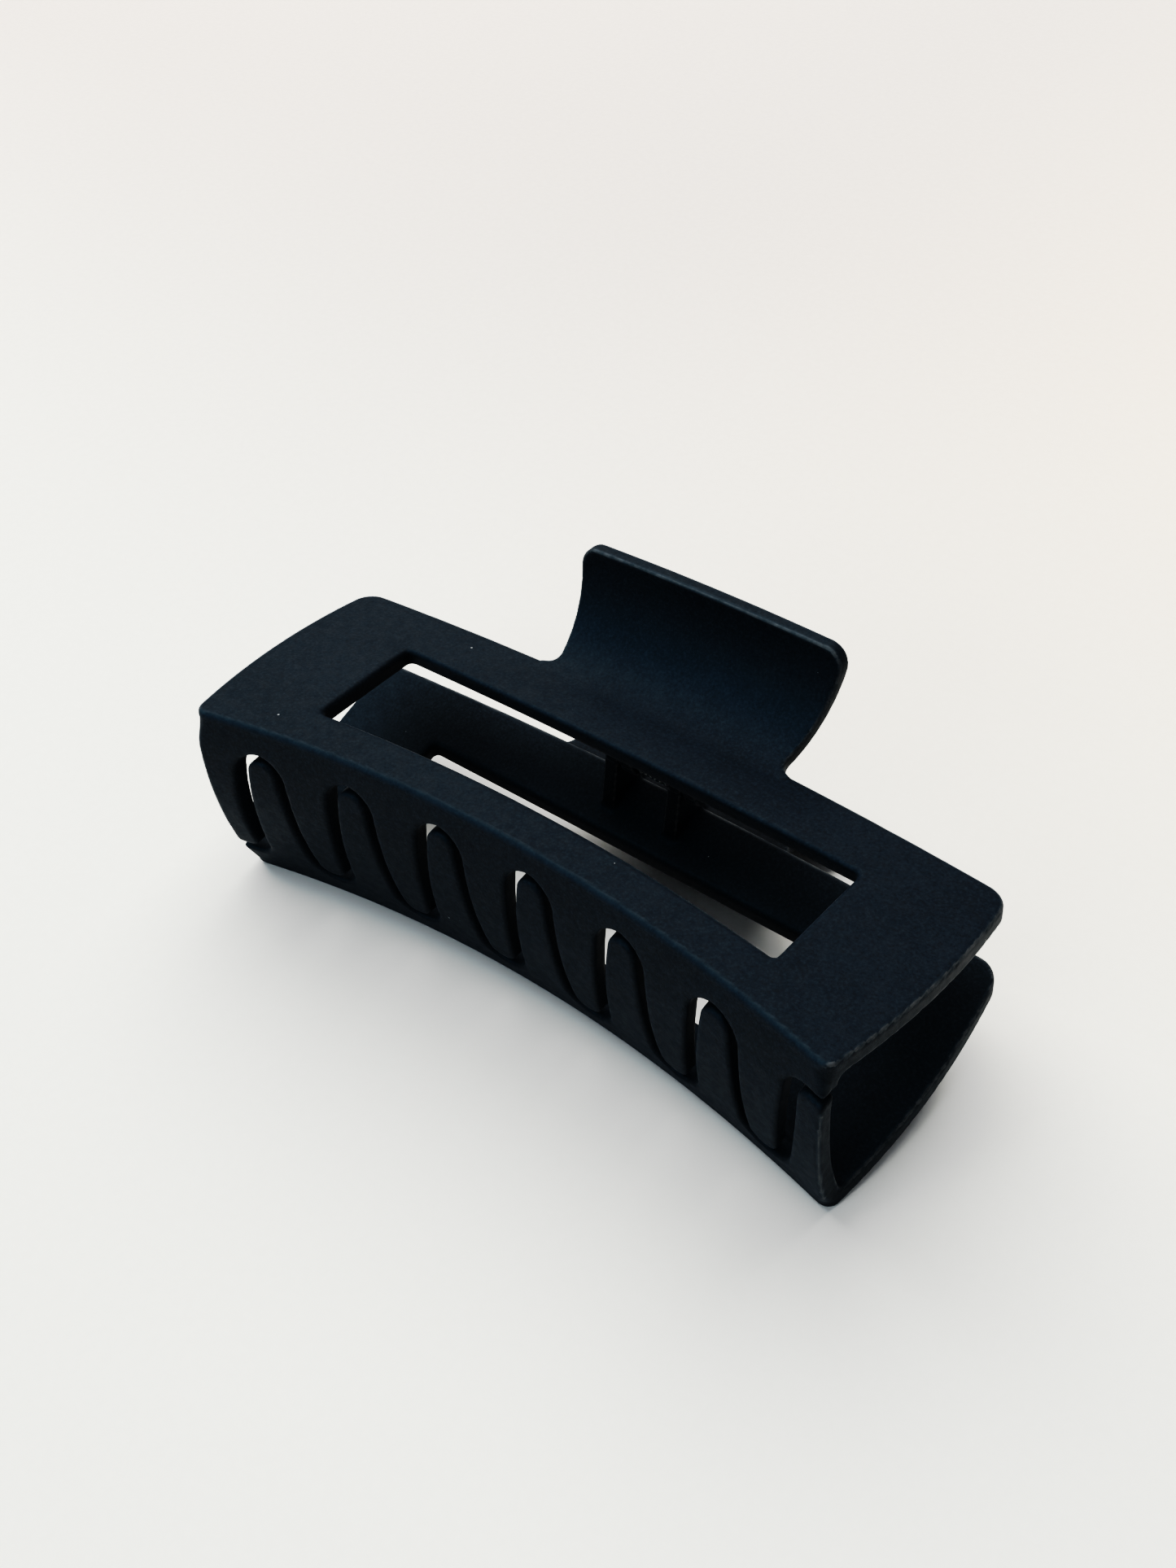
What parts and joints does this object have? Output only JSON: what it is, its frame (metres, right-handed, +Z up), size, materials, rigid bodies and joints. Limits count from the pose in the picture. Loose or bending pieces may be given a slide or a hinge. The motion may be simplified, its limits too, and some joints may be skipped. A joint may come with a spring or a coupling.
{
  "type": "hair claw clip",
  "caption": "Large rectangular open-frame hair claw clip: two interlocking toothed jaws with pinch handles, hinged on a steel pin and closed by a torsion spring.",
  "frame": {"origin": "middle of the footprint, on the surface the closed clip lies on", "axes": "+X along the clip's length, +Y from the teeth towards the handles, +Z up"},
  "size_m": [0.1088, 0.0576, 0.0432],
  "materials": {
    "matte_plastic": "soft-touch matte black with a faint blue cast",
    "pin_steel": "drawn bright steel",
    "spring_steel": "drawn spring wire"
  },
  "bodies": {
    "lower_half": {"jaw_lower": "matte_plastic", "hinge_pin": "pin_steel", "torsion_spring": "spring_steel"},
    "upper_half": {"jaw_upper": "matte_plastic"}
  },
  "joints": [
    {"name": "jaw_open", "type": "hinge", "parent": "lower_half", "child": "upper_half", "pos_m": [0, 0.0108, 0.02016], "axis": [-1, 0, 0], "range_deg": [0, 88], "stiffness_Nm_per_rad": 0.06, "springref_deg": -57.3, "deforming": ["torsion_spring"]}
  ]
}
